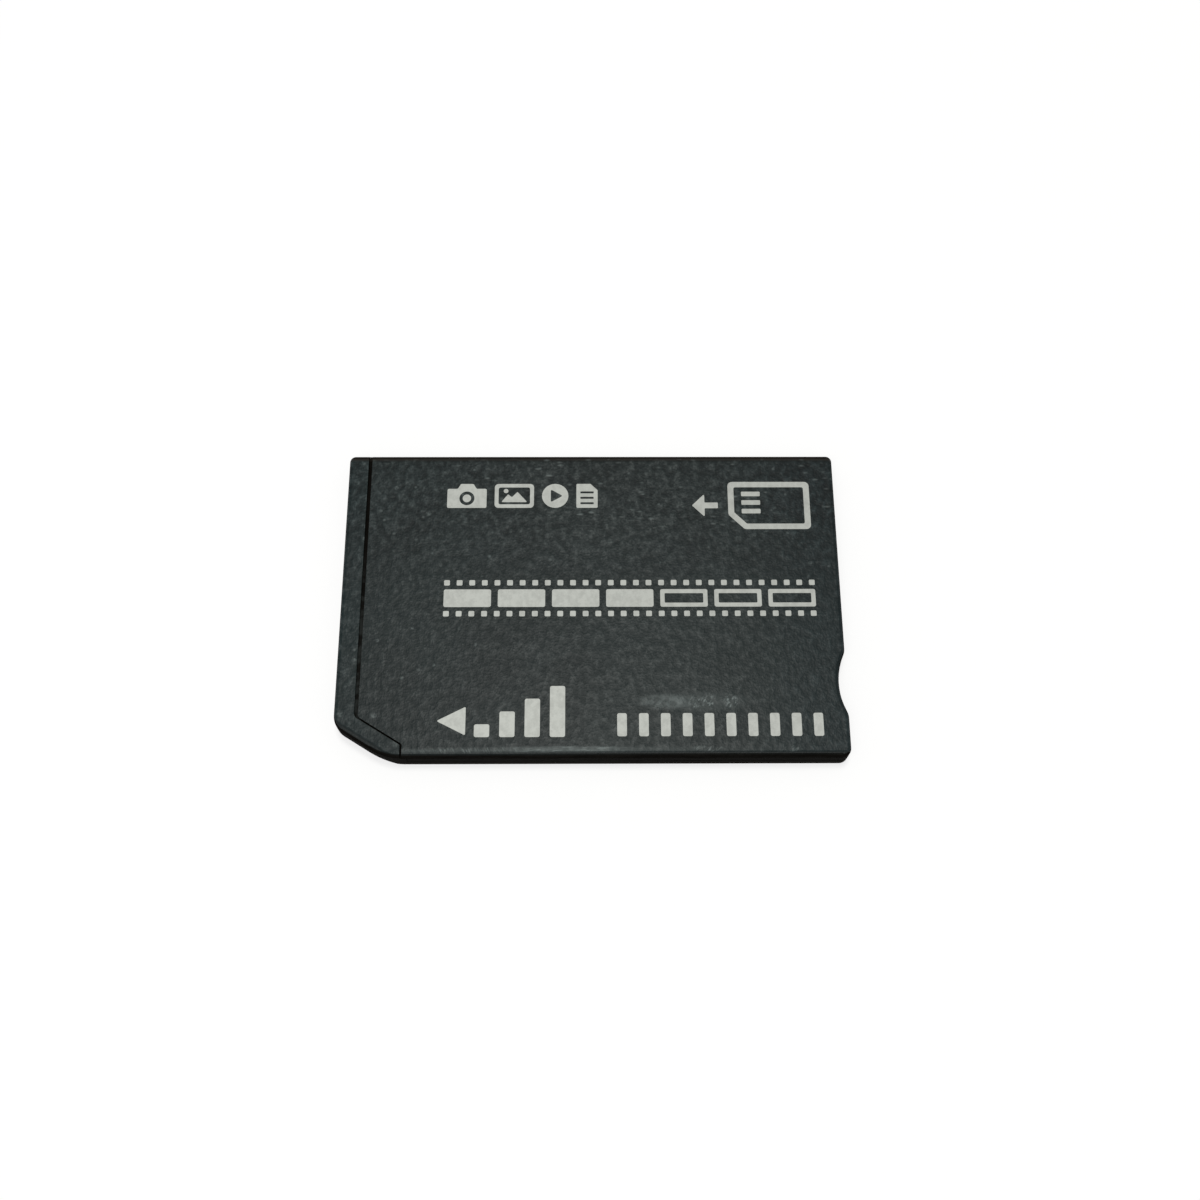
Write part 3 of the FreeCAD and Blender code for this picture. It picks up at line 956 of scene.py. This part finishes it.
def floor_material():
    """Pale floor that keeps some of the card's shadow, and is plain white to the eye further off."""
    white_near, near, far = 0.7, 0.10, 0.45     # share of white near the card, and distances in metres
    material = bpy.data.materials.new("pale_floor")
    material.use_nodes = True
    tree = material.node_tree
    tree.nodes.clear()
    diffuse = add_node(tree, "ShaderNodeBsdfDiffuse", None, {"Color": FLOOR_WHITE})
    glow = add_node(tree, "ShaderNodeEmission")
    place = add_node(tree, "ShaderNodeTexCoord").outputs["Object"]
    distance = add_node(tree, "ShaderNodeVectorMath", {"operation": "LENGTH"}, {0: place}).outputs["Value"]
    limits = {"From Min": near, "From Max": far, "To Min": white_near, "To Max": 1.0}
    white = add_node(tree, "ShaderNodeMapRange", None, {"Value": distance, **limits}).outputs["Result"]
    factors = {0: light_path_share(tree), 1: white}
    share = add_node(tree, "ShaderNodeMath", {"operation": "MULTIPLY"}, factors).outputs["Value"]
    parts = {"Fac": share, 1: diffuse.outputs["BSDF"], 2: glow.outputs["Emission"]}
    mix = add_node(tree, "ShaderNodeMixShader", None, parts)
    add_node(tree, "ShaderNodeOutputMaterial", None, {"Surface": mix.outputs["Shader"]})
    return material


def make_floor():
    half = 1.5                  # of its side, in metres
    corners = [(-half, -half, 0), (half, -half, 0), (half, half, 0), (-half, half, 0)]
    data = bpy.data.meshes.new("floor")
    data.from_pydata(corners, [], [(0, 1, 2, 3)])
    data.materials.append(floor_material())
    floor = bpy.data.objects.new("floor", data)
    bpy.context.scene.collection.objects.link(floor)


def make_world():
    """Even light from all round, and white where the background itself is seen."""
    strength = 0.40
    world = bpy.data.worlds.new("studio")
    bpy.context.scene.world = world
    world.use_nodes = True
    tree = world.node_tree
    tree.nodes.clear()
    soft = add_node(tree, "ShaderNodeBackground", None, {"Color": LIGHT_WHITE, "Strength": strength})
    white = add_node(tree, "ShaderNodeBackground", None, {"Color": LIGHT_WHITE})
    parts = {"Fac": light_path_share(tree), 1: soft.outputs["Background"], 2: white.outputs["Background"]}
    mix = add_node(tree, "ShaderNodeMixShader", None, parts)
    add_node(tree, "ShaderNodeOutputWorld", None, {"Surface": mix.outputs["Shader"]})


def make_lamp(name, place, size, power, colour):
    """Square soft lamp that faces the card. Place and size are in metres."""
    lamp = bpy.data.lights.new(name, "AREA")
    lamp.color = colour
    lamp.size = size
    lamp.energy = power
    holder = bpy.data.objects.new(name, lamp)
    holder.location = place
    holder.rotation_euler = (-Vector(place)).to_track_quat("-Z", "Y").to_euler()
    bpy.context.scene.collection.objects.link(holder)


def make_lamps():
    make_lamp("top_lamp", place=(0.000, 0.080, 0.48), size=0.12, power=1.06, colour=LIGHT_WARM)
    make_lamp("key_lamp", place=(-0.10, -0.22, 0.50), size=0.30, power=0.87, colour=LIGHT_WHITE)


def make_camera():
    pitch, yaw, roll = (math.radians(angle) for angle in (CAMERA_PITCH, CAMERA_YAW, CAMERA_ROLL))
    level = math.cos(pitch)
    forward = Vector((math.sin(yaw) * level, math.cos(yaw) * level, -math.sin(pitch)))
    level_right = forward.cross(Vector((0, 0, 1))).normalized()
    level_down = forward.cross(level_right)
    right = level_right * math.cos(roll) + level_down * math.sin(roll)
    up = level_right * math.sin(roll) - level_down * math.cos(roll)
    lens = bpy.data.cameras.new("camera")
    lens.sensor_width = SENSOR_WIDTH
    lens.lens = FOCAL_PIXELS / FRAME_PIXELS * SENSOR_WIDTH
    lens.clip_start = CAMERA_CLIP * MM
    camera = bpy.data.objects.new("camera", lens)
    turn = Matrix((right, up, -forward)).transposed()
    camera.matrix_world = Matrix.Translation(Vector(CAMERA_PLACE) * MM) @ turn.to_4x4()
    bpy.context.scene.collection.objects.link(camera)
    bpy.context.scene.camera = camera


dress_nodes()
pale_ink = ink_material()
print_arrow(pale_ink)
print_level(pale_ink)
print_uses(pale_ink)
print_strip(pale_ink)
print_contacts(pale_ink)
print_card_sign(pale_ink)
make_floor()
make_world()
make_lamps()
make_camera()
bpy.context.scene.view_settings.view_transform = "Standard"
